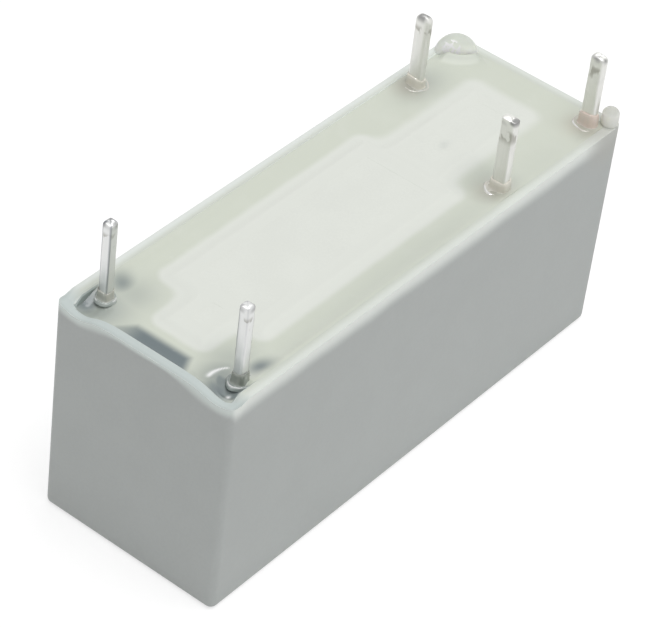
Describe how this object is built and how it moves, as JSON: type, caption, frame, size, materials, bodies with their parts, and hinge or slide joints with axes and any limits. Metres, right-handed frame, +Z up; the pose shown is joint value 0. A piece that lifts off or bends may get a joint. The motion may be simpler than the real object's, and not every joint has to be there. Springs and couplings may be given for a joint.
{
  "type": "power relay for circuit boards",
  "caption": "Sealed box-shaped changeover relay with flat solder pins on its resin-filled side, shown upside down with its pins up.",
  "frame": {"origin": "centre of the cover's outer top face, which rests on the floor because the relay lies upside down", "axes": "+X from the coil pins towards the contact pins, along the long side; +Y across the box, towards the row that holds the common pin; +Z up along the pins, away from the cover's top"},
  "size_m": [0.0286, 0.01, 0.016],
  "materials": {
    "cover_plastic": "matte",
    "base_plastic": "satin",
    "sealing_resin": "gloss",
    "bobbin_plastic": "satin",
    "winding_wire": "gloss",
    "tinned_wire": "satin",
    "soft_iron": "satin",
    "spring_steel": "polished",
    "card_plastic": "satin",
    "spring_bronze": "satin",
    "contact_silver": "polished",
    "rivet_brass": "satin",
    "tinned_strip": "satin"
  },
  "bodies": {
    "housing": {"cover": "cover_plastic", "base": "base_plastic", "sealing_resin": "sealing_resin", "coil_bobbin": "bobbin_plastic", "coil_winding": "winding_wire", "coil_leads": "winding_wire", "coil_terminal_a": "tinned_wire", "coil_terminal_b": "tinned_wire", "iron_core": "soft_iron", "yoke": "soft_iron", "armature_spring": "spring_steel", "spring_foot": "spring_bronze", "com_rivets": "rivet_brass", "com_terminal": "tinned_strip", "no_terminal": "tinned_strip", "nc_terminal": "tinned_strip", "no_contact": "contact_silver", "nc_contact": "contact_silver"},
    "armature": {"armature": "soft_iron"},
    "card": {"card": "card_plastic"},
    "contact_arm": {"contact_spring": "spring_bronze", "moving_contact": "contact_silver"}
  },
  "joints": [
    {"name": "armature_hinge", "type": "hinge", "parent": "housing", "child": "armature", "pos_m": [0.00172, 0, 0.01025], "axis": [0, 1, 0], "range_deg": [0, 5.2], "stiffness_Nm_per_rad": 0.002, "springref_deg": -8.59},
    {"name": "card_slide", "type": "slide", "parent": "housing", "child": "card", "axis": [-1, 0, 0], "range_m": [0, 0.000802]},
    {"name": "contact_swing", "type": "hinge", "parent": "housing", "child": "contact_arm", "pos_m": [0.00925, 0, 0.00895], "axis": [0, 1, 0], "range_deg": [0, 6.1]}
  ],
  "couplings": [
    {"joint": "card_slide", "follows": "armature_hinge", "m_per_rad": 0.008824},
    {"joint": "contact_swing", "follows": "armature_hinge", "ratio": 1.1721}
  ]
}
